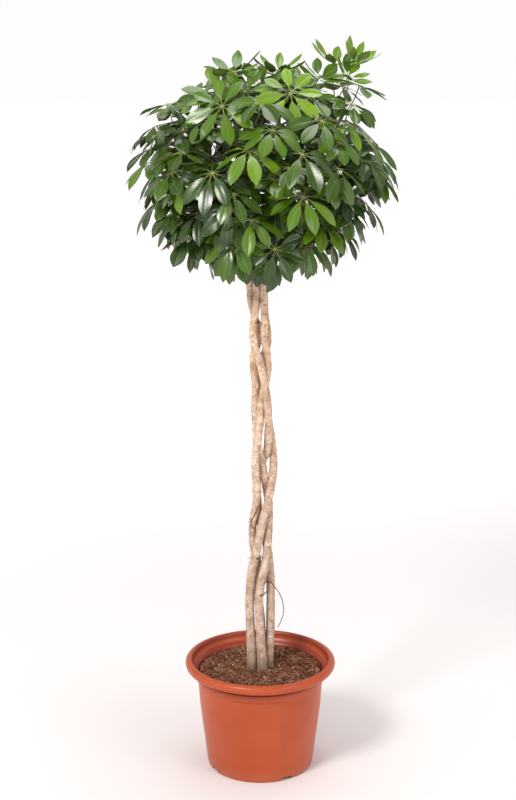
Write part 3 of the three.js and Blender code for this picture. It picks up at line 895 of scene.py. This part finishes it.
# Leaves that stand round the tips of the top branches: hub x, y, z in mm, azimuth and elevation
# that they face, leaflet length in mm, fold (negative is cupped) and tone.
TOP_LEAVES = [
    (-88, -62, 1472, -30, 52, 66, -0.40, 0.62), (-30, -104, 1474, 0, 36, 62, -0.25, 0.70),
    (-118, -40, 1468, -62, 58, 60, -0.15, 0.45), (-186, -52, 1446, -78, 78, 64, 0.05, 0.35),
    (0, -62, 1486, 10, 50, 54, -0.40, 0.60), (64, -44, 1484, 30, 58, 58, -0.35, 0.66),
    (98, -74, 1466, 20, 52, 60, -0.05, 0.45), (118, -22, 1498, 40, 62, 54, -0.45, 0.62),
    (170, -8, 1478, 62, 58, 62, 0.05, 0.50), (182, -70, 1446, 60, 60, 62, 0.15, 0.40),
    (190, 6, 1530, 62, 64, 42, -1.0, 0.85), (176, -34, 1500, 50, 50, 46, -0.6, 0.75),
    (-60, 48, 1500, 200, 74, 56, -0.35, 0.55), (-112, 64, 1470, 236, 60, 60, 0.0, 0.45),
    (-20, 112, 1474, 176, 52, 62, -0.2, 0.50), (74, 96, 1478, 145, 56, 60, -0.15, 0.55),
    (120, 72, 1466, 120, 58, 60, 0.05, 0.42), (30, 44, 1502, 160, 78, 54, -0.4, 0.60),
]


STALK_LENGTH, STALK_RISE = 120 * MM, 20 * MM  # what an inner leaf's stalk aims for


def grow_leaf(builder, hub, facing, curves, tone, anchors, rng):
    """A whole leaf: its leaflets and a stalk from the nearest suitable wood."""
    distance = np.linalg.norm(anchors - hub, axis=1)
    cost = np.abs(distance - STALK_LENGTH) + np.maximum(0, anchors[:, 2] - hub[2] + STALK_RISE)
    base = anchors[int(np.argmin(cost))]
    reach = np.linalg.norm(hub - base)
    for start, bend, half in curves:
        add_leaflet(builder, hub, start, bend, facing, half, rng.uniform(0.17, 0.25), rng,
                    np.clip(tone + rng.normal(0, 0.08), 0, 1))
    middle = base * 0.55 + hub * 0.45 + UP * 0.04 * reach
    add_stalk(builder, [base, middle, hub - facing * 0.2 * reach, hub - facing * MM], rng, 0.9)


# Inner leaves: share of the crown's distance from the axis, and how many.
FILL_PLAN = [(1.0, 82), (0.78, 42), (0.52, 16)]
FILL_TRIES = 28
FILL_PIECES = 12
FILL_MARGIN = 4 * MM


def best_fill_leaf(rng, depth, samples):
    """Of several random leaves within FILL_MARGIN of the CAD box, the one most clear of the others."""
    best = None
    known = np.array(samples)
    for _ in range(FILL_TRIES):
        hub, facing = fill_candidate(rng, depth)
        length = rng.uniform(0.050, 0.072)
        curves = leaf_curves(facing, length, rng.randint(7, 10), rng.uniform(0.12, 0.50), rng)
        probe = np.array(leaflet_points(hub, curves, PROBE_SHARES))
        if (probe < CAD_LOW - FILL_MARGIN).any() or (probe > CAD_HIGH + FILL_MARGIN).any():
            continue
        near = np.sort(np.linalg.norm(probe[:, None] - known[None], axis=2).min(1))[:6].mean()
        if best is None or near > best[0]:
            best = (near, hub, facing, curves)
    return best[1:]


def build_fill_leaves(samples, anchors):
    """The leaves that no CAD leaf stands for: the top ones, and those inside the crown."""
    rng = np.random.RandomState(77)
    builders = [Builder(LEAF_KEYS) for _ in range(FILL_PIECES + 1)]
    for x, y, z, azimuth, elevation, length, fold, tone in TOP_LEAVES:
        hub, facing = np.array([x, y, z]) * MM, heading(azimuth, elevation)
        curves = leaf_curves(facing, length * MM, rng.randint(6, 9), fold, rng)
        grow_leaf(builders[-1], hub, facing, curves, tone, anchors, rng)
        samples += leaflet_points(hub, curves, PROBE_SHARES)
    depths = [depth for depth, count in FILL_PLAN for _ in range(count // (1))]
    for serial, depth in enumerate(depths):
        hub, facing, curves = best_fill_leaf(rng, depth, samples)
        samples += leaflet_points(hub, curves, PROBE_SHARES)
        # leaves deep inside the crown get a darker tone: painted shade
        tone = rng.beta(1.4, 3.0) * (0.7 if depth < 0.8 else 1.0) + tone_shift(hub)
        grow_leaf(builders[serial % FILL_PIECES], hub, facing, curves, tone, anchors, rng)
    for number, builder in enumerate(builders, 1):
        piece = builder.build(f"inner_leaves_{number:02d}", [BLADE, STALK_M])
        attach(piece, "root")


LOWEST_ANCHOR = 1130 * MM


def stem_anchors():
    """Points on the stems' branches that a stalk can grow from."""
    stems = [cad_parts[f"stem_{i}"].data for i in range(1, 5)]
    points = np.concatenate([np.array([v.co for v in mesh.vertices]) for mesh in stems])
    return points[points[:, 2] > LOWEST_ANCHOR]


build_pot()
build_soil()
build_roots(bark_tree([build_stem(i) for i in range(1, 5)]))
leaf_samples = []
for i in range(1, 1 + sum(node.startswith("leaf_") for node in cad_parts)):
    build_cad_leaf(i, leaf_samples)
build_fill_leaves(leaf_samples, stem_anchors())

# ---------------------------------------------------------------- stage, light, camera
STAGE_HALF = 30.0
GLOW_FROM, GLOW_TO, GLOW = 0.6, 3.6, 0.56
CAMERA_AT = (-0.005, -3.163, 1.600)
CAMERA_DOWN = 13.71
LENS, SENSOR = 69.21, 36
PAPER = (1.0, 0.988, 0.988, 1)


def stage_material():
    """Pale floor that glows far from the plant, so that its horizon is faint."""
    m = Nodes("stage")
    coords = m.coords()
    soft = m.noise(coords, 0.8, 2.0)
    color = m.mix(soft, (0.84, 0.80, 0.795), (0.87, 0.84, 0.84))
    away = m.node("ShaderNodeVectorMath", _operation="LENGTH", i0=coords).outputs["Value"]
    glow = m.math("MULTIPLY", m.step(away, GLOW_FROM, GLOW_TO), GLOW)
    return m.finish(color, 0.7, Specular_IOR_Level=0.1, Emission_Color=(1.0, 0.985, 0.985),
                    Emission_Strength=glow)


def build_stage():
    half = STAGE_HALF
    corners = [[-half, -half, 0], [half, -half, 0], [half, half, 0], [-half, half, 0]]
    floor = make_object("floor", corners, [[0, 1, 2, 3]], [stage_material()], sharp_angle=0)


def area_light(name, location, target, size, power, color=(1, 1, 1)):
    """A rectangular light at location, turned towards target."""
    data = bpy.data.lights.new(name, "AREA")
    data.shape, data.size, data.size_y = "RECTANGLE", size[0], size[1]
    data.energy, data.color = power, color
    obj = bpy.data.objects.new(name, data)
    obj.location = location
    direction = np.array(target) - np.array(location)
    obj.rotation_euler = Vector(direction).to_track_quat("-Z", "Y").to_euler()
    bpy.context.scene.collection.objects.link(obj)


def build_world():
    """Pale light from all round, dimmer from overhead."""
    world = bpy.data.worlds.new("world")
    bpy.context.scene.world = world
    world.use_nodes = True
    tree = world.node_tree
    direction = tree.nodes.new("ShaderNodeTexCoord")
    split = tree.nodes.new("ShaderNodeSeparateXYZ")
    fade = tree.nodes.new("ShaderNodeMapRange")
    tree.links.new(direction.outputs["Generated"], split.inputs[0])
    tree.links.new(split.outputs[2], fade.inputs[0])
    for socket, value in zip(list(fade.inputs)[1:5], (0.12, 0.5, 1.0, 0.5)):
        socket.default_value = value
    tree.links.new(fade.outputs[0], tree.nodes["Background"].inputs[1])
    tree.nodes["Background"].inputs[0].default_value = PAPER


def build_camera():
    data = bpy.data.cameras.new("camera")
    data.sensor_width, data.lens = SENSOR, LENS
    camera = bpy.data.objects.new("camera", data)
    camera.location = CAMERA_AT
    camera.rotation_euler = (math.radians(90 - CAMERA_DOWN), 0, 0)
    bpy.context.scene.collection.objects.link(camera)
    bpy.context.scene.camera = camera


build_stage()
area_light("key", (-1.7, -2.3, 3.1), (0, 0, 1.0), (0.9, 0.9), 98, (1.0, 0.98, 0.95))
area_light("fill", (2.4, -2.0, 2.0), (0, 0, 0.8), (1.6, 1.6), 26)
area_light("top", (0.2, 0.3, 3.4), (0, 0, 1.0), (1.6, 1.6), 40)
build_world()
build_camera()
bpy.context.scene.view_settings.view_transform = "Standard"
